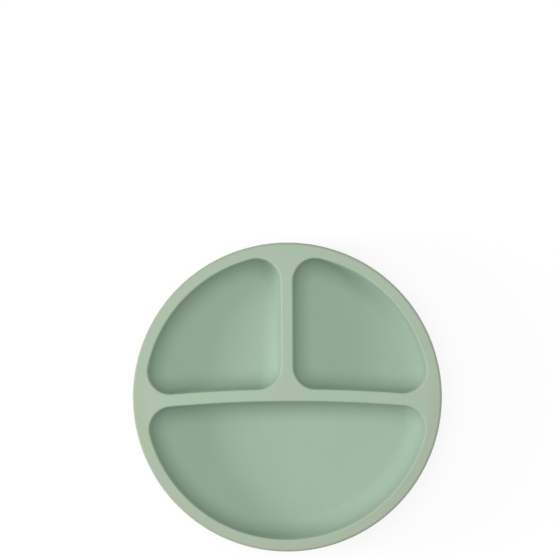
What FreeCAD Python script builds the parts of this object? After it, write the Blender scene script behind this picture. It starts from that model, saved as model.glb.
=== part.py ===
"""Divided suction plate for a baby: one solid moulding in soft silicone.

Seen from above it is a round plate with a flat deck. Three pockets are sunk into the deck: two small
ones side by side and one half-moon in front of them. A straight wall parts the small ones, and a
slightly arched wall parts them from the half-moon. Under the flat base hangs a thin conical skirt,
which is the suction cup, and its lip carries a tab that breaks the seal.

Frame: the origin is on the table under the plate's centre, +Z is up, and +Y points from the half-moon
to the small pockets. All lengths are in millimetres and all angles in degrees.
"""

import FreeCAD, Part
import math
import os
from FreeCAD import Vector

# Plan of the deck
plate_diameter = 185.0
rim_width = 7.2
divider_width = 7.2
arch_radius = 865.0  # centre line of the arched wall
arch_rise = 1.1  # how far the top of that arch lies behind the plate's centre
pocket_corner_radius = 13.8

# Section of a pocket
pocket_depth = 19.5
pocket_draft = 6.0
floor_blend = 12.0
deck_edge_round = 1.1

# Section of the outside
floor_thickness = 3.4
rim_edge_round = 1.4
outer_draft = 11.0
base_corner_round = 15.0

# Suction skirt under the base
skirt_height = 5.0
lip_diameter = 128.0
lip_land_width = 2.4
lip_edge_thickness = 0.9
lip_edge_round = 0.3
skirt_outer_slope = 33.0
skirt_inner_slope = 25.0
skirt_root_round = 1.5
cup_ceiling_round = 8.0

# Release tab, which grows out of the lip behind the plate
tab_reach = 13.0  # beyond the lip's edge
tab_overlap = 1.7  # inside the lip's edge
tab_width = 15.0
tab_flare_width = 25.0  # where it leaves the lip
tab_flare_length = 3.2
tab_flare_round = 5.0
tab_end_round = 6.8
tab_thickness = 1.6
tab_edge_round = 0.5
tab_lift = 1.4  # how much higher its end lies than its root
tab_root_gap = 0.1  # from the table to the underside of its root

# Heights and radii that follow from the sizes above
floor_height = skirt_height + floor_thickness
deck_height = floor_height + pocket_depth
plate_radius = plate_diameter / 2
pocket_circle_radius = plate_radius - rim_width
lip_radius = lip_diameter / 2

ORIGIN = Vector(0, 0, 0)
UP = Vector(0, 0, 1)
ARCH_CENTRE = Vector(0, arch_rise - arch_radius, 0)
FULL_TURN = 360
FILLET_SHARE = 0.95  # the most that fillets take of the wall, corner or run that limits them
SAME_PLACE = 1e-4  # two places closer than this are one


def rounded_wire(corners):
    """Closed wire of straight runs whose corners, given as (point, radius), are rounded by arcs."""
    count = len(corners)
    points = [point for point, radius in corners]
    to_last = [(points[i - 1] - points[i]).normalize() for i in range(count)]
    to_next = [(points[(i + 1) % count] - points[i]).normalize() for i in range(count)]
    half_angles = [to_last[i].getAngle(to_next[i]) / 2 for i in range(count)]
    wanted = [radius / math.tan(half_angles[i]) for i, (point, radius) in enumerate(corners)]
    shares = [1.0] * count
    for i in range(count):
        j = (i + 1) % count
        room = FILLET_SHARE * points[i].distanceToPoint(points[j])
        if wanted[i] + wanted[j] > room:
            share = room / (wanted[i] + wanted[j])
            shares[i] = min(shares[i], share)
            shares[j] = min(shares[j], share)
    setbacks = [wanted[i] * shares[i] for i in range(count)]

    starts = [points[i] + to_last[i] * setbacks[i] for i in range(count)]
    ends = [points[i] + to_next[i] * setbacks[i] for i in range(count)]
    edges = []
    for i in range(count):
        edges.append(Part.LineSegment(ends[i - 1], starts[i]).toShape())
        if setbacks[i] > 0:
            radius = setbacks[i] * math.tan(half_angles[i])
            bisector = (to_last[i] + to_next[i]).normalize()
            middle = points[i] + bisector * (radius / math.sin(half_angles[i]) - radius)
            edges.append(Part.Arc(starts[i], middle, ends[i]).toShape())
    return Part.Wire(edges)


def towards(start, end):
    """Unit vector from start to end."""
    return (end - start).normalize()


def mirrored(point):
    """The point on the other side of the plate's middle plane."""
    return Vector(-point.x, point.y, point.z)


def arc_about(centre, radius, start, end):
    """Edge of less than half a turn on the circle about centre, from start to end."""
    middle = centre + (towards(centre, start) + towards(centre, end)).normalize() * radius
    return Part.Arc(start, middle, end).toShape()


def point_on_circle(centre, radius, x):
    """The rear point of a circle at a given x."""
    return Vector(x, centre.y + math.sqrt(radius**2 - (x - centre.x) ** 2), 0)


def circles_meet(centre_a, radius_a, centre_b, radius_b):
    """The right-hand meeting point of two circles whose centres both lie on the Y axis."""
    span = centre_b.y - centre_a.y
    along = (radius_a**2 - radius_b**2 + span**2) / (2 * span)
    return Vector(math.sqrt(radius_a**2 - along**2), centre_a.y + along, 0)


def small_pocket_outline(inset, height):
    """Outline of the right-hand small pocket, drawn in by inset from its outline in the deck."""
    corner = pocket_corner_radius - inset
    rim = pocket_circle_radius - inset
    side = divider_width / 2 + inset
    arch = arch_radius + divider_width / 2 + inset

    back = point_on_circle(ORIGIN, rim - corner, side + corner)
    front = point_on_circle(ARCH_CENTRE, arch + corner, side + corner)
    outer = circles_meet(ORIGIN, rim - corner, ARCH_CENTRE, arch + corner)

    side_back = Vector(side, back.y, 0)
    side_front = Vector(side, front.y, 0)
    rim_back = towards(ORIGIN, back) * rim
    rim_outer = towards(ORIGIN, outer) * rim
    arch_outer = ARCH_CENTRE + towards(ARCH_CENTRE, outer) * arch
    arch_front = ARCH_CENTRE + towards(ARCH_CENTRE, front) * arch

    outline = Part.Wire(
        [
            Part.LineSegment(side_front, side_back).toShape(),
            arc_about(back, corner, side_back, rim_back),
            arc_about(ORIGIN, rim, rim_back, rim_outer),
            arc_about(outer, corner, rim_outer, arch_outer),
            arc_about(ARCH_CENTRE, arch, arch_outer, arch_front),
            arc_about(front, corner, arch_front, side_front),
        ]
    )
    outline.translate(UP * height)
    return outline


def half_moon_outline(inset, height):
    """Outline of the half-moon pocket, drawn in by inset from its outline in the deck."""
    corner = pocket_corner_radius - inset
    rim = pocket_circle_radius - inset
    arch = arch_radius - divider_width / 2 - inset

    right = circles_meet(ORIGIN, rim - corner, ARCH_CENTRE, arch - corner)
    arch_right = ARCH_CENTRE + towards(ARCH_CENTRE, right) * arch
    rim_right = towards(ORIGIN, right) * rim

    outline = Part.Wire(
        [
            arc_about(ARCH_CENTRE, arch, mirrored(arch_right), arch_right),
            arc_about(right, corner, arch_right, rim_right),
            Part.Arc(rim_right, Vector(0, -rim, 0), mirrored(rim_right)).toShape(),
            arc_about(mirrored(right), corner, mirrored(rim_right), mirrored(arch_right)),
        ]
    )
    outline.translate(UP * height)
    return outline


def pocket_space(outline):
    """Solid of the space in a pocket: drafted walls that run into the floor in a wide blend."""
    draft = math.radians(pocket_draft)
    draft_inset = pocket_depth * math.tan(draft)
    walls = Part.makeLoft([outline(draft_inset, floor_height), outline(0, deck_height)], True, True)
    floor_edges = [e for e in walls.Edges if e.BoundBox.ZMax < floor_height + SAME_PLACE]
    corner_limit = (pocket_corner_radius - draft_inset) / (1 / math.cos(draft) - math.tan(draft))
    blend = min(floor_blend, FILLET_SHARE * corner_limit, FILLET_SHARE * pocket_depth)
    return walls.makeFillet(blend, floor_edges)


def outer_body():
    """The plate with no pockets: its section, from the deck round to the cup's ceiling, turned about Z."""
    draft = math.radians(outer_draft)
    deck_corner = plate_radius + rim_edge_round * (1 / math.cos(draft) + math.tan(draft) - 1)
    base_corner = deck_corner - (deck_height - skirt_height) * math.tan(draft)
    skirt_outer_run = (skirt_height - lip_edge_thickness) / math.tan(math.radians(skirt_outer_slope))
    skirt_inner_run = skirt_height / math.tan(math.radians(skirt_inner_slope))
    land_inner = lip_radius - lip_land_width
    section = rounded_wire(
        [
            (Vector(0, 0, deck_height), 0),
            (Vector(deck_corner, 0, deck_height), rim_edge_round),
            (Vector(base_corner, 0, skirt_height), base_corner_round),
            (Vector(lip_radius - skirt_outer_run, 0, skirt_height), skirt_root_round),
            (Vector(lip_radius, 0, lip_edge_thickness), lip_edge_round),
            (Vector(lip_radius, 0, 0), lip_edge_round),
            (Vector(land_inner, 0, 0), lip_edge_round),
            (Vector(land_inner - skirt_inner_run, 0, skirt_height), cup_ceiling_round),
            (Vector(0, 0, skirt_height), 0),
        ]
    )
    return Part.Face(section).revolve(ORIGIN, UP, FULL_TURN)


def release_tab():
    """Tongue from inside the lip outwards and slightly upwards, with its free edges rounded."""
    root_radius = lip_radius - tab_overlap
    root = point_on_circle(ORIGIN, root_radius, tab_flare_width / 2)
    flare = point_on_circle(ORIGIN, lip_radius, tab_flare_width / 2)
    neck = Vector(tab_width / 2, lip_radius + tab_flare_length, 0)
    end = Vector(tab_width / 2, lip_radius + tab_reach, 0)
    plan = rounded_wire(
        [
            (mirrored(root), 0),
            (mirrored(flare), 0),
            (mirrored(neck), tab_flare_round),
            (mirrored(end), tab_end_round),
            (end, tab_end_round),
            (neck, tab_flare_round),
            (flare, 0),
            (root, 0),
        ]
    )
    slab_reach = tab_flare_width + tab_width  # well past the tongue's sides
    under_root = Vector(-slab_reach, root.y, tab_root_gap)
    under_end = Vector(-slab_reach, end.y, tab_root_gap + tab_lift)
    thick = UP * tab_thickness
    side = Part.makePolygon([under_root, under_end, under_end + thick, under_root + thick, under_root])
    slab = Part.Face(side).extrude(Vector(2 * slab_reach, 0, 0))
    tongue = Part.Face(plan).extrude(UP * deck_height).common(slab)
    tongue = tongue.cut(Part.makeCylinder(root_radius, deck_height))
    free_edges = [
        edge
        for edge in tongue.Edges
        if any(math.hypot(v.X, v.Y) > lip_radius + SAME_PLACE for v in edge.Vertexes)
        and not is_upright(edge)
    ]
    edge_round = min(tab_edge_round, FILLET_SHARE * tab_thickness / 2)
    return tongue.makeFillet(edge_round, free_edges)


def is_upright(edge):
    """True for an edge that runs straight up."""
    return abs(edge.BoundBox.ZLength - edge.Length) < SAME_PLACE


def round_deck_edges(plate):
    """Rounds the edges where the deck turns down into the pockets."""
    edges = [
        edge
        for edge in plate.Edges
        if all(abs(v.Z - deck_height) < SAME_PLACE for v in edge.Vertexes)
        and all(math.hypot(v.X, v.Y) < pocket_circle_radius + SAME_PLACE for v in edge.Vertexes)
    ]
    flat_rim = rim_width - rim_edge_round
    edge_round = min(deck_edge_round, FILLET_SHARE * divider_width / 2, FILLET_SHARE * flat_rim)
    return plate.makeFillet(edge_round, edges)


def make_plate():
    right_pocket = pocket_space(small_pocket_outline)
    left_pocket = right_pocket.mirror(ORIGIN, Vector(1, 0, 0))
    half_moon = pocket_space(half_moon_outline)
    plate = outer_body().cut(right_pocket).cut(left_pocket).cut(half_moon)
    return round_deck_edges(plate).fuse(release_tab()).removeSplitter()


os.makedirs("parts", exist_ok=True)
plate = make_plate()
print("solids", len(plate.Solids), "valid", plate.isValid(), "volume cm3", round(plate.Volume / 1000, 1))
plate.exportStep("parts/plate.step")
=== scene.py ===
import math

import bmesh
import bpy
import numpy as np
from mathutils import Matrix, Vector
from mathutils.geometry import tessellate_polygon


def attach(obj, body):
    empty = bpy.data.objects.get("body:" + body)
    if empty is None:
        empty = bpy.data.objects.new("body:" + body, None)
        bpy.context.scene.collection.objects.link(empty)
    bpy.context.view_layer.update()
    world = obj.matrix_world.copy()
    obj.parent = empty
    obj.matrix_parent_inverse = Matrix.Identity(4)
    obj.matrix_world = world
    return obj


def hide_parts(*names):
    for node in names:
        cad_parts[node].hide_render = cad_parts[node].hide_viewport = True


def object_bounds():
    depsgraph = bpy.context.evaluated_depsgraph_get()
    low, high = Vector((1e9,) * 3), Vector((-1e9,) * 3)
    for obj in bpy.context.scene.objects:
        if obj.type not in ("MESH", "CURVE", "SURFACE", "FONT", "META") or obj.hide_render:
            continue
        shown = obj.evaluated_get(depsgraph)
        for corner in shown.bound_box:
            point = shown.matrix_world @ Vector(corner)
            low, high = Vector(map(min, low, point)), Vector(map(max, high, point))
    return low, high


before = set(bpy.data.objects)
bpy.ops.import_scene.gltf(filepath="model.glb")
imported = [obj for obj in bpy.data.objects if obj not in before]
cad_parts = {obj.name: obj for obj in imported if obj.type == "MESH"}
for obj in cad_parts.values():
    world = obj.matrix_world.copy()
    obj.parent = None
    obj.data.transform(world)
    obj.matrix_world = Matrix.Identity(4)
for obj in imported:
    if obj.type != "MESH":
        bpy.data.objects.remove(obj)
cad_low, cad_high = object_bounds()

# The plate. The whole product is this one piece, compression moulded in soft silicone: a deck with
# three sunk pockets, and under it a conical skirt whose lip holds to the table. It is one closed skin,
# worked out from the same sizes as the solid that it stands for.
MM = 0.001

plate_radius = cad_high.x
deck_height = cad_high.z
rim_width = 7.2 * MM
divider_width = 7.2 * MM
arch_radius = 865.0 * MM  # centre line of the arched divider
arch_rise = 1.1 * MM  # how far the top of that arch lies behind the plate's centre
pocket_corner_radius = 13.8 * MM
floor_height = 8.4 * MM
pocket_draft = math.radians(6.0)
floor_blend = 12.0 * MM
deck_edge_round = 1.1 * MM
rim_edge_round = 1.4 * MM
outer_draft = math.radians(11.0)
base_height = 5.0 * MM
base_corner_round = 15.0 * MM

lip_radius = 64.0 * MM
lip_land_width = 2.4 * MM
lip_edge_thickness = 0.9 * MM
lip_edge_round = 0.3 * MM
skirt_outer_slope = math.radians(33.0)
skirt_inner_slope = math.radians(25.0)
skirt_root_round = 1.5 * MM
cup_ceiling_round = 8.0 * MM

tab_reach = 13.0 * MM  # beyond the lip's edge
tab_width = 15.0 * MM
tab_flare_width = 25.0 * MM  # where it leaves the lip
tab_flare_length = 3.2 * MM
tab_flare_round = 5.0 * MM
tab_end_round = 6.8 * MM
tab_thickness = 1.6 * MM
tab_edge_round = 0.5 * MM
tab_lift = 1.4 * MM  # how much higher its end lies than its root
tab_root_gap = 0.1 * MM  # from the table to the underside of its root
tab_overlap = 1.7 * MM  # inside the lip's edge
tab_root_melt = 0.5 * MM  # how softly its upper side runs into the skirt
tab_zone = 2.5 * MM  # inside the lip's edge, the part of the skirt that the tab can reshape

plan_spacing = 1.2 * MM  # between neighbouring points along an outline
tab_spacing = 0.5 * MM
upper_steps = 8  # from the skirt's cone out to the free edge of the lip and the tab
free_edge_steps = 4  # round half of that edge
lower_steps = 6  # from it in to the lip's land
arc_turn = math.radians(4.5)  # between neighbouring points round a section's corner
same_place = 0.001 * MM
pocket_circle_radius = plate_radius - rim_width
arch_centre = np.array([0.0, arch_rise - arch_radius])
pocket_depth = deck_height - floor_height


def unit(v):
    """The vector, or each vector of an array, at length one."""
    return v / np.linalg.norm(v, axis=-1, keepdims=True)


def rounded_line(corners, turn=arc_turn):
    """Straight runs from corner to corner, where a corner (x, y, radius) becomes an arc tangent to both
    of its runs: centre on the bisector, radius / sin(half the angle) from the corner."""
    points = np.array([c[:2] for c in corners], float)
    line = [points[:1]]
    for last, corner, after, (_, _, radius) in zip(points, points[1:], points[2:], corners[1:]):
        back, on = unit(last - corner), unit(after - corner)
        half = math.acos(np.clip(back @ on, -1, 1)) / 2
        centre = corner + unit(back + on) * radius / math.sin(half)
        first = corner + back * radius / math.tan(half) - centre
        sweep = math.pi - 2 * half
        clockwise = back[0] * on[1] - back[1] * on[0] > 0
        angles = np.linspace(0, -sweep if clockwise else sweep, max(2, math.ceil(sweep / turn)) + 1)
        cos, sin = np.cos(angles), np.sin(angles)
        arc = np.stack([first[0] * cos - first[1] * sin, first[0] * sin + first[1] * cos], 1)
        line.append(centre + arc)
    line.append(points[-1:])
    return np.concatenate(line)


def outline_arc(centre, radius, start, end, inwards):
    """Points on a circle from angle start to angle end, with the unit vector at each that points into
    the pocket: along the radius, away from the centre where inwards is 1 and towards it where it is -1."""
    count = max(math.ceil(abs(end - start) * radius / plan_spacing), math.ceil(abs(end - start) / arc_turn))
    angles = np.linspace(start, end, count, endpoint=False)
    out = np.stack([np.cos(angles), np.sin(angles)], 1)
    return centre + radius * out, inwards * out


def angle_of(v):
    """Angle of a plan vector from +X."""
    return math.atan2(v[1], v[0])


def circles_meet(radius_a, centre_b, radius_b):
    """Where a circle about the origin meets a circle whose centre is on the Y axis, on the right. It lies
    (first radius^2 - second^2 + distance^2) / (2 distance) along that axis, and x is the other short
    side of the triangle that has the first radius as its longest."""
    span = centre_b[1]
    along = (radius_a**2 - radius_b**2 + span**2) / (2 * span)
    return np.array([math.sqrt(radius_a**2 - along**2), along])


def small_pocket_outline():
    """The right-hand small pocket in the deck, clockwise: its wall on the straight divider, an arc about
    the plate's centre, and an arc of the arched divider, with a corner arc between each two."""
    corner = pocket_corner_radius
    rim = pocket_circle_radius
    arch = arch_radius + divider_width / 2
    side = divider_width / 2
    middle = side + corner
    back = np.array([middle, math.sqrt((rim - corner) ** 2 - middle**2)])
    front = arch_centre + [middle, math.sqrt((arch + corner) ** 2 - middle**2)]
    outer = circles_meet(rim - corner, arch_centre, arch + corner)

    count = math.ceil((back[1] - front[1]) / plan_spacing)
    wall = np.stack([np.full(count, side), np.linspace(front[1], back[1], count, endpoint=False)], 1)
    wall_inwards = np.tile([1.0, 0.0], (count, 1))
    origin = np.zeros(2)
    pieces = [
        (wall, wall_inwards),
        outline_arc(back, corner, math.pi, angle_of(back), -1),
        outline_arc(origin, rim, angle_of(back), angle_of(outer), -1),
        outline_arc(outer, corner, angle_of(outer), angle_of(arch_centre - outer), -1),
        outline_arc(arch_centre, arch, angle_of(outer - arch_centre), angle_of(front - arch_centre), 1),
        outline_arc(front, corner, angle_of(arch_centre - front), -math.pi, -1),
    ]
    return np.concatenate([p for p, _ in pieces]), np.concatenate([n for _, n in pieces])


def half_moon_outline():
    """The half-moon pocket in the deck, clockwise: an arc of the arched divider and an arc about the
    plate's centre, with a corner arc between them at each end."""
    corner = pocket_corner_radius
    rim = pocket_circle_radius
    arch = arch_radius - divider_width / 2
    right = circles_meet(rim - corner, arch_centre, arch - corner)
    left = right * [-1, 1]
    up_right = angle_of(right - arch_centre)
    up_left = angle_of(left - arch_centre)
    out_right = angle_of(right)
    out_left = -math.pi - out_right
    pieces = [
        outline_arc(arch_centre, arch, up_left, up_right, -1),
        outline_arc(right, corner, up_right, out_right, -1),
        outline_arc(np.zeros(2), rim, out_right, out_left, -1),
        outline_arc(left, corner, out_left, up_left - 2 * math.pi, -1),
    ]
    return np.concatenate([p for p, _ in pieces]), np.concatenate([n for _, n in pieces])


def pocket_section():
    """Section of a pocket as (distance in from its outline, height): over the rounded edge of the deck,
    down the drafted wall, and through the wide blend to the floor."""
    foot = pocket_depth * math.tan(pocket_draft)
    line = rounded_line(
        [
            (-2 * deck_edge_round, deck_height, 0),
            (0, deck_height, deck_edge_round),
            (foot, floor_height, floor_blend),
            (pocket_corner_radius, floor_height, 0),
        ]
    )
    return line[1:-1]


def pocket_grid(outline, inwards, section):
    """Each point of the outline moved inwards by each distance of the section, at the section's height."""
    plan = outline[:, None] + inwards[:, None] * section[None, :, :1]
    height = np.broadcast_to(section[None, :, 1:], plan.shape[:2] + (1,))
    return np.concatenate([plan, height], 2)


def tab_outline():
    """Free edge of the release tab in plan, from where it leaves the lip on the left round to the right."""
    half_flare = tab_flare_width / 2
    half = tab_width / 2
    start = math.sqrt(lip_radius**2 - half_flare**2)
    neck = lip_radius + tab_flare_length
    end = lip_radius + tab_reach
    return rounded_line(
        [
            (-half_flare, start, 0),
            (-half, neck, tab_flare_round),
            (-half, end, tab_end_round),
            (half, end, tab_end_round),
            (half, neck, tab_flare_round),
            (half_flare, start, 0),
        ]
    )


def respaced(line, spacing):
    """The same line with points at even distances along it."""
    steps = np.linalg.norm(np.diff(line, axis=0), axis=1)
    along = np.concatenate([[0], np.cumsum(steps)])
    wanted = np.linspace(0, along[-1], math.ceil(along[-1] / spacing) + 1)
    return np.stack([np.interp(wanted, along, line[:, k]) for k in (0, 1)], 1)


def underside_plan():
    """Round the plate, clockwise from the tab's left end: the angle of each column of the underside's
    grid, the point of the lip's edge that it ends at, and the outward vector there. Along the tab the
    columns fan out from evenly spaced angles to evenly spaced points of its edge."""
    tab = respaced(tab_outline(), tab_spacing)
    left, right = angle_of(tab[0]), angle_of(tab[-1])
    tab_angles = np.linspace(left, right, len(tab))
    count = math.ceil((2 * math.pi - (left - right)) * lip_radius / plan_spacing)
    round_angles = np.linspace(right, left - 2 * math.pi, count + 1)[1:-1]
    lip = lip_radius * np.stack([np.cos(round_angles), np.sin(round_angles)], 1)
    edge = np.concatenate([tab, lip])
    along = unit(np.roll(edge, -1, axis=0) - np.roll(edge, 1, axis=0))
    outwards = np.stack([-along[:, 1], along[:, 0]], 1)
    return np.concatenate([tab_angles, round_angles]), edge, outwards


def outer_section():
    """Half section above the lip as (radius, height): round the rim's outer edge, down the drafted wall,
    through the base's corner, in under the base, and down the skirt as far as where the tab can start."""
    shoulder = rim_edge_round * (1 / math.cos(outer_draft) + math.tan(outer_draft) - 1)
    deck_corner = plate_radius + shoulder
    base_corner = deck_corner - (deck_height - base_height) * math.tan(outer_draft)
    skirt_run = (base_height - lip_edge_thickness) / math.tan(skirt_outer_slope)
    tab_start = lip_radius - tab_zone
    line = rounded_line(
        [
            (deck_corner - 2 * rim_edge_round, deck_height, 0),
            (deck_corner, deck_height, rim_edge_round),
            (base_corner, base_height, base_corner_round),
            (lip_radius - skirt_run, base_height, skirt_root_round),
            (tab_start, skirt_surface(tab_start), 0),
        ]
    )
    return line[1:]


def skirt_surface(radius):
    """Height of the skirt's upper side, a cone."""
    return lip_edge_thickness + (lip_radius - radius) * math.tan(skirt_outer_slope)


def cup_section():
    """Half section of the suction cup's inside as (radius, height), from the lip's flat land to the axis."""
    land_inner = lip_radius - lip_land_width
    ceiling_edge = land_inner - base_height / math.tan(skirt_inner_slope)
    line = rounded_line(
        [
            (lip_radius - lip_edge_round, 0, 0),
            (land_inner, 0, lip_edge_round),
            (ceiling_edge, base_height, cup_ceiling_round),
            (ceiling_edge / 2, base_height, 0),
        ]
    )
    return line


def soft_max(a, b, melt):
    """The larger of two heights, with the crease between them rounded over about the distance melt."""
    return (a + b + np.sqrt((a - b) ** 2 + melt**2)) / 2


def underside_grid():
    """Columns round the plate by rows from the deck's outer edge to the middle of the cup's ceiling.
    Rows of the outer and the cup's section are circles. Between them the rows follow the lip's edge,
    which the tab carries outwards: its upper side is the higher of the skirt's cone and a rising plane."""
    angles, edge, outwards = underside_plan()
    spoke = np.stack([np.cos(angles), np.sin(angles)], 1)

    def circles(section):
        """Every column's points, at the section's radii along the column's spoke."""
        plan = spoke[:, None] * section[None, :, :1]
        height = np.broadcast_to(section[None, :, 1:], plan.shape[:2] + (1,))
        return np.concatenate([plan, height], 2)

    outer = circles(outer_section())
    cup = circles(cup_section())

    beyond = np.linalg.norm(edge, axis=1) - lip_radius
    share = np.clip(beyond / tab_flare_length, 0, 1)
    share = (share**2 * (3 - 2 * share))[:, None]
    edge_round = lip_edge_round + share * (tab_edge_round - lip_edge_round)
    slope = tab_lift / (tab_reach + tab_overlap)
    root = lip_radius - tab_overlap

    def tab_underside(y):
        """Height of the tab's underside: it rises in a straight line from the root, times the share."""
        return (tab_root_gap + np.maximum(y - root, 0) * slope) * share

    quarter = np.linspace(0, math.pi / 2, free_edge_steps + 1)  # angles round half of the free edge
    top_inner = outer[:, -1, :2]
    top_outer = edge - outwards * edge_round
    t = np.linspace(0, 1, upper_steps + 1)[None, 1:-1, None]
    top_plan = top_inner[:, None] * (1 - t) + top_outer[:, None] * t
    top_plan = np.concatenate([top_plan, top_outer[:, None]], 1)
    cone = skirt_surface(np.linalg.norm(top_plan, axis=2))
    plane = tab_root_gap + (top_plan[:, :, 1] - root) * slope + tab_thickness
    top_height = cone + share * (soft_max(cone, plane, tab_root_melt) - cone)
    top = np.concatenate([top_plan, top_height[..., None]], 2)

    lower = tab_underside(edge[:, 1:])
    upper = top_height[:, -1:]
    side_out = np.concatenate([np.sin(quarter), np.cos(quarter)])
    side_plan = edge[:, None] - outwards[:, None] * (edge_round[:, None] * (1 - side_out[None, :, None]))
    side_height = np.concatenate(
        [upper - edge_round * (1 - np.cos(quarter)), lower + edge_round * (1 - np.sin(quarter))], 1
    )
    side = np.concatenate([side_plan, side_height[..., None]], 2)[:, 1:]

    bottom_outer = side[:, -1, :2]
    bottom_inner = cup[:, 0, :2]
    t = np.linspace(0, 1, lower_steps + 1)[None, 1:-1, None]
    bottom_plan = bottom_outer[:, None] * (1 - t) + bottom_inner[:, None] * t
    outside = np.clip((np.linalg.norm(bottom_plan, axis=2) - lip_radius) / tab_overlap + 1, 0, 1)
    bottom_height = tab_underside(bottom_plan[:, :, 1]) * outside
    bottom = np.concatenate([bottom_plan, bottom_height[..., None]], 2)
    return np.concatenate([outer, top, side, bottom, cup], 1)


def ring_faces(columns, rows, start):
    """Quads of a grid that closes on itself along its columns, numbered from start."""
    number = start + np.arange(columns * rows).reshape(columns, rows)
    after = np.roll(number, -1, axis=0)
    quads = np.stack([number[:, :-1], number[:, 1:], after[:, 1:], after[:, :-1]], -1)
    return quads.reshape(-1, 4).tolist()


def plate_mesh():
    """The skin from its patches: three pockets with flat floors, the deck between their edges, and the
    outside with the suction cup. Patches meet in the same points, which are then merged. The attribute
    says how polished the mould was, and also where the pockets' deeper tint goes, which is painted shade:
    0 for the deck and the outside, rising to 1 over the top of a pocket's wall, and 1 in the suction cup."""
    section = pocket_section()
    right, right_inwards = small_pocket_outline()
    mirror = np.array([-1, 1])
    outlines = [
        (right, right_inwards),
        (right[::-1] * mirror, right_inwards[::-1] * mirror),
        half_moon_outline(),
    ]
    grids = [pocket_grid(outline, inwards, section) for outline, inwards in outlines]
    # how polished each pocket is; the same mask lays on the pockets' deeper tint, which is painted shade
    polish_and_shade = [np.clip((deck_height - grid[:, :, 2]) / (2 * deck_edge_round), 0, 1) for grid in grids]
    grids.append(underside_grid())
    columns, rows, _ = grids[-1].shape
    in_cup = np.arange(rows) >= rows - len(cup_section())
    polish_and_shade.append(np.broadcast_to(in_cup, (columns, rows)))

    points, faces, deck_loops = [], [], []
    start = 0
    for grid in grids:
        columns, rows, _ = grid.shape
        points.append(grid.reshape(-1, 3))
        faces.extend(ring_faces(columns, rows, start))
        faces.append((start + rows - 1 + rows * np.arange(columns)).tolist())
        deck_loops.append(start + rows * np.arange(columns))
        start += columns * rows
    points = np.concatenate(points)
    loops = [[Vector(points[i]) for i in loop] for loop in deck_loops]
    numbers = np.concatenate(deck_loops)
    faces.extend(numbers[list(triangle)].tolist() for triangle in tessellate_polygon(loops))

    mesh = bpy.data.meshes.new("plate_skin")
    mesh.from_pydata(points.tolist(), [], faces)
    finish_and_shade = mesh.attributes.new("polish_and_shade", "FLOAT", "POINT")
    finish_and_shade.data.foreach_set("value", np.concatenate([p.ravel() for p in polish_and_shade]).astype(np.float32))
    work = bmesh.new()
    work.from_mesh(mesh)
    bmesh.ops.remove_doubles(work, verts=work.verts, dist=same_place)
    bmesh.ops.recalc_face_normals(work, faces=work.faces)
    work.to_mesh(mesh)
    work.free()
    mesh.shade_smooth()
    return mesh


plate = bpy.data.objects.new("plate_skin", plate_mesh())
bpy.context.scene.collection.objects.link(plate)
even_shading = plate.modifiers.new("even_shading", "WEIGHTED_NORMAL")
even_shading.mode = "FACE_AREA"
even_shading.keep_sharp = False


def linear(hex_colour):
    """Linear RGBA of an sRGB colour written as #RRGGBB."""
    channels = [int(hex_colour[i:i + 2], 16) / 255 for i in (1, 3, 5)]
    return [c / 12.92 if c <= 0.04045 else ((c + 0.055) / 1.055) ** 2.4 for c in channels] + [1.0]


def add_node(tree, kind, links=None, **settings):
    """Adds a node, sets its properties or input sockets by name, and links other nodes' sockets to it."""
    node = tree.nodes.new(kind)
    for name, value in settings.items():
        if hasattr(node, name):
            setattr(node, name, value)
        else:
            node.inputs[name.replace("_", " ")].default_value = value
    for name, socket in (links or {}).items():
        tree.links.new(socket, node.inputs[name])
    return node


# Platinum-cured silicone, as it comes from a steel mould. The deck and the outside were blasted in the
# # mould and came out matt. The pockets and the suction cup were polished, which leaves them a little
# # smoother; their deeper, greener tint is painted shade of the sunk hollows, against the deck's tint as the
# # lit copy of one colour. The rim is painted greyer as painted shade, most on the near side, where the
# # light falls off, and its outer edge darker still: painted shade on the round, which also dulls the round's
# # highlight from the low lamp on the left. The colour is even but for faint clouds.
cloud_size = 18.0 * MM
grain_size = 0.4 * MM  # the real grain is a tenth of this, too fine to show
grain_depth = 0.03 * MM
scatter_depth = 2.0 * MM
blasted_tints = ("#A0B39E", "#A4B7A2")  # deep and pale
# painted shade: the pockets' and the cup's deeper, greener tint, a shaded copy of the deck's colour
pocket_shade_tints = ("#97AE9A", "#9BB29E")
# painted shade: the rim greyer and darker, most on the near side, where the light falls off
rim_shade_tints = ("#A0AE99", "#A4B29D")
# painted shade: the outer edge round darker and greyer, which also dulls its highlight from the low lamp
edge_shade_tints = ("#99A193", "#9DA597")
blasted_roughness = 0.8
polished_roughness = 0.68
blasted_grain = 0.25  # strength of the grain's bump
polished_grain = 0.1
rim_shade_from = pocket_circle_radius - 2.3 * MM  # plan radius where the rim's painted shade begins
rim_shade_full = pocket_circle_radius + 2.7 * MM
near_side = -10.0 * MM  # in front of this the rim's painted shade is full
far_side = 50.0 * MM
rim_shade_far_side = 0.2  # the share of the painted shade that is left behind far_side
edge_shade_from = plate_radius - 1.9 * MM  # plan radius where the outer edge's painted shade begins
edge_shade_full = plate_radius - 0.7 * MM
edge_shade_foot = deck_height - 3.0 * MM  # it fades out down to here
edge_shade_top = deck_height - 1.0 * MM


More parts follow.
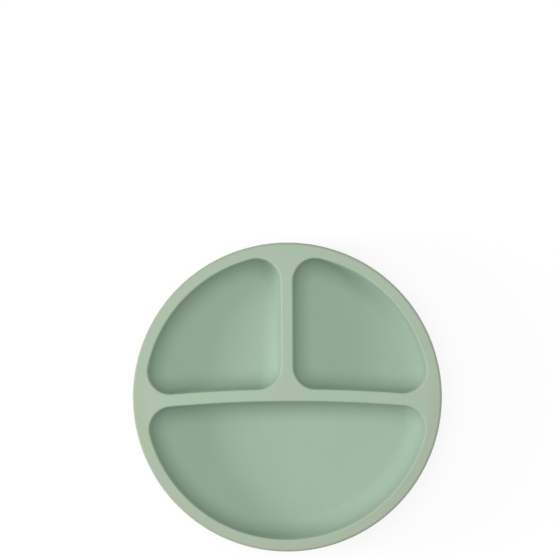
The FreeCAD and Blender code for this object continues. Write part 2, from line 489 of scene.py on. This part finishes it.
def silicone_material():
    """Each tint has a deep and a pale version, chosen by the clouds, and each after the first covers the
    one before it where its share is 1: first the deck's colour, then the painted shade of the pockets, the
    rim and its outer edge. Plan radius, height and the side of the plate place the rim's two painted shades."""
    material = bpy.data.materials.new("silicone_moulded_sage")
    material.use_nodes = True
    tree = material.node_tree
    tree.nodes.clear()
    place = add_node(tree, "ShaderNodeTexCoord")
    # the mould's polish, which also places the painted shade of the pockets and the cup
    polish_and_shade = add_node(tree, "ShaderNodeAttribute", attribute_name="polish_and_shade")
    clouds = add_node(
        tree, "ShaderNodeTexNoise", {"Vector": place.outputs["Object"]}, Scale=1 / cloud_size, Detail=3.0
    )
    plan = add_node(tree, "ShaderNodeMapping", {"Vector": place.outputs["Object"]}, Scale=(1.0, 1.0, 0.0))
    reach = add_node(tree, "ShaderNodeVectorMath", {0: plan.outputs["Vector"]}, operation="LENGTH")
    on_rim = add_node(
        tree,
        "ShaderNodeMapRange",
        {"Value": reach.outputs["Value"]},
        interpolation_type="SMOOTHSTEP",
        From_Min=rim_shade_from,
        From_Max=rim_shade_full,
    )
    across = add_node(tree, "ShaderNodeSeparateXYZ", {"Vector": place.outputs["Object"]})
    # painted shade on the rim: full on the near side, a share of it on the far side
    toward_near_side = add_node(
        tree,
        "ShaderNodeMapRange",
        {"Value": across.outputs["Y"]},
        interpolation_type="SMOOTHSTEP",
        From_Min=near_side,
        From_Max=far_side,
        To_Min=1.0,
        To_Max=rim_shade_far_side,
    )
    rim_shade = add_node(
        tree, "ShaderNodeMath", {0: on_rim.outputs["Result"], 1: toward_near_side.outputs["Result"]}, operation="MULTIPLY"
    )
    # painted shade on the round of the rim's outer edge, over its top part
    outermost = add_node(
        tree,
        "ShaderNodeMapRange",
        {"Value": reach.outputs["Value"]},
        interpolation_type="SMOOTHSTEP",
        From_Min=edge_shade_from,
        From_Max=edge_shade_full,
    )
    uppermost = add_node(
        tree,
        "ShaderNodeMapRange",
        {"Value": across.outputs["Z"]},
        interpolation_type="SMOOTHSTEP",
        From_Min=edge_shade_foot,
        From_Max=edge_shade_top,
    )
    edge_shade = add_node(
        tree,
        "ShaderNodeMath",
        {0: outermost.outputs["Result"], 1: uppermost.outputs["Result"]},
        operation="MULTIPLY",
    )
    colour = None
    # the first tint is the silicone's own colour; the ones after it are painted shade
    for share, (deep, pale) in (
        (None, blasted_tints),
        (polish_and_shade.outputs["Fac"], pocket_shade_tints),
        (rim_shade.outputs["Value"], rim_shade_tints),
        (edge_shade.outputs["Value"], edge_shade_tints),
    ):
        finish_and_shade = add_node(tree, "ShaderNodeValToRGB", {"Fac": clouds.outputs["Fac"]})
        finish_and_shade.color_ramp.elements[0].color = linear(deep)
        finish_and_shade.color_ramp.elements[1].color = linear(pale)
        if share is None:
            colour = finish_and_shade.outputs["Color"]
        else:
            links = {0: share, 6: colour, 7: finish_and_shade.outputs["Color"]}
            colour = add_node(tree, "ShaderNodeMix", links, data_type="RGBA").outputs[2]
    rough = add_node(
        tree,
        "ShaderNodeMapRange",
        {"Value": polish_and_shade.outputs["Fac"]},
        To_Min=blasted_roughness,
        To_Max=polished_roughness,
    )
    blasting = add_node(
        tree, "ShaderNodeTexNoise", {"Vector": place.outputs["Object"]}, Scale=1 / grain_size, Detail=2.0
    )
    strength = add_node(
        tree,
        "ShaderNodeMapRange",
        {"Value": polish_and_shade.outputs["Fac"]},
        To_Min=blasted_grain,
        To_Max=polished_grain,
    )
    grain = add_node(
        tree,
        "ShaderNodeBump",
        {"Height": blasting.outputs["Fac"], "Strength": strength.outputs["Result"]},
        Distance=grain_depth,
    )
    surface = add_node(
        tree,
        "ShaderNodeBsdfPrincipled",
        {
            "Base Color": colour,
            "Roughness": rough.outputs["Result"],
            "Normal": grain.outputs["Normal"],
        },
        IOR=1.41,
        Subsurface_Weight=0.15,
        Subsurface_Radius=(0.6, 1.0, 0.7),
        Subsurface_Scale=scatter_depth,
        Sheen_Weight=0.05,
        Sheen_Roughness=0.5,
    )
    add_node(tree, "ShaderNodeOutputMaterial", {"Surface": surface.outputs["BSDF"]})
    return material


plate.data.materials.append(silicone_material())
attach(plate, "root")
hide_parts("plate")


# The floor: a wide board painted white. Seen by the camera or in a reflection it glows white, so only
# a share of the plate's shadow shows on it, and none beyond half a metre. From below it is clear.
floor_half = 3.0
glow_by_plate = 0.8  # the rest of the white is paint, which takes the shadow
fade_from = 0.1
fade_to = 0.5


def floor_material():
    """Paint, covered by glow as far as the share says where it is seen, and clear on its back. The
    share rises in a straight line with the distance from the plate's axis."""
    material = bpy.data.materials.new("studio_white")
    material.use_nodes = True
    tree = material.node_tree
    tree.nodes.clear()
    path = add_node(tree, "ShaderNodeLightPath")
    side = add_node(tree, "ShaderNodeNewGeometry")
    paint = add_node(tree, "ShaderNodeBsdfDiffuse", Color=linear("#FFFFFF"))
    glow = add_node(tree, "ShaderNodeEmission", Color=linear("#FFFFFF"), Strength=1.0)
    seen = add_node(
        tree,
        "ShaderNodeMath",
        {0: path.outputs["Is Camera Ray"], 1: path.outputs["Is Glossy Ray"]},
        operation="MAXIMUM",
    )
    place = add_node(tree, "ShaderNodeTexCoord")
    reach = add_node(tree, "ShaderNodeVectorMath", {0: place.outputs["Object"]}, operation="LENGTH")
    share = add_node(
        tree,
        "ShaderNodeMapRange",
        {"Value": reach.outputs["Value"]},
        From_Min=fade_from,
        From_Max=fade_to,
        To_Min=glow_by_plate,
        To_Max=1.0,
    )
    part = add_node(
        tree, "ShaderNodeMath", {0: seen.outputs[0], 1: share.outputs["Result"]}, operation="MULTIPLY"
    )
    white = add_node(
        tree, "ShaderNodeMixShader", {0: part.outputs[0], 1: paint.outputs[0], 2: glow.outputs[0]}
    )
    clear = add_node(tree, "ShaderNodeBsdfTransparent")
    both = add_node(
        tree,
        "ShaderNodeMixShader",
        {0: side.outputs["Backfacing"], 1: white.outputs[0], 2: clear.outputs[0]},
    )
    add_node(tree, "ShaderNodeOutputMaterial", {"Surface": both.outputs[0]})
    material.cycles.emission_sampling = "NONE"
    return material


floor_mesh = bpy.data.meshes.new("floor")
floor_mesh.from_pydata(
    [
        (-floor_half, -floor_half, 0),
        (floor_half, -floor_half, 0),
        (floor_half, floor_half, 0),
        (-floor_half, floor_half, 0),
    ],
    [],
    [(0, 1, 2, 3)],
)
floor = bpy.data.objects.new("floor", floor_mesh)
floor.data.materials.append(floor_material())
bpy.context.scene.collection.objects.link(floor)

# Light: a small soft box low on the left, a wide one overhead, and a plain white room around, which the
# camera and clear things see at full white.
room_light = 0.335
world = bpy.data.worlds.new("studio")
world.use_nodes = True
tree = world.node_tree
tree.nodes.clear()
path = add_node(tree, "ShaderNodeLightPath")
seen = add_node(
    tree,
    "ShaderNodeMath",
    {0: path.outputs["Is Camera Ray"], 1: path.outputs["Is Transmission Ray"]},
    operation="MAXIMUM",
)
level = add_node(tree, "ShaderNodeMapRange", {"Value": seen.outputs[0]}, To_Min=room_light, To_Max=1.0)
sky = add_node(tree, "ShaderNodeBackground", {"Strength": level.outputs["Result"]}, Color=linear("#FFFFFF"))
add_node(tree, "ShaderNodeOutputWorld", {"Surface": sky.outputs[0]})
bpy.context.scene.world = world


def soft_box(name, azimuth, elevation, distance, diameter, power):
    """Round soft box that faces the plate from a distance, and is itself hidden from the camera. Angles
    in radians, distance and diameter in metres, power in watts."""
    lamp = bpy.data.lights.new(name, "AREA")
    lamp.shape = "DISK"
    lamp.size = diameter
    lamp.energy = power
    holder = bpy.data.objects.new(name, lamp)
    across = distance * math.cos(elevation)
    holder.location = (
        across * math.cos(azimuth),
        across * math.sin(azimuth),
        distance * math.sin(elevation),
    )
    holder.rotation_euler = (-holder.location).to_track_quat("-Z", "Y").to_euler()
    holder.visible_camera = False
    bpy.context.scene.collection.objects.link(holder)


soft_box("key_left", math.radians(180), math.radians(20), 0.9, 0.27, 5.35)
soft_box("overhead", math.radians(60), math.radians(86), 3.0, 4.2, 74.5)

# Camera: straight above, far off, so that the pockets' walls show alike on all sides.
view_width = 335.1 * MM  # the width of the picture on the deck
plate_in_view = Vector((4.41 * MM, -70.08 * MM))  # the plate's centre from the picture's centre
camera_roll = math.radians(-0.3)
camera_height = 2.4  # above the deck
camera_data = bpy.data.cameras.new("camera")
camera_data.sensor_width = 36.0
camera_data.lens = camera_data.sensor_width * camera_height / view_width
camera_data.clip_end = 10.0
camera = bpy.data.objects.new("camera", camera_data)
camera.rotation_euler.z = camera_roll
plate_in_view.rotate(Matrix.Rotation(camera_roll, 2))
camera.location = (-plate_in_view.x, -plate_in_view.y, deck_height + camera_height)
bpy.context.scene.collection.objects.link(camera)
bpy.context.scene.camera = camera
bpy.context.scene.view_settings.view_transform = "Standard"
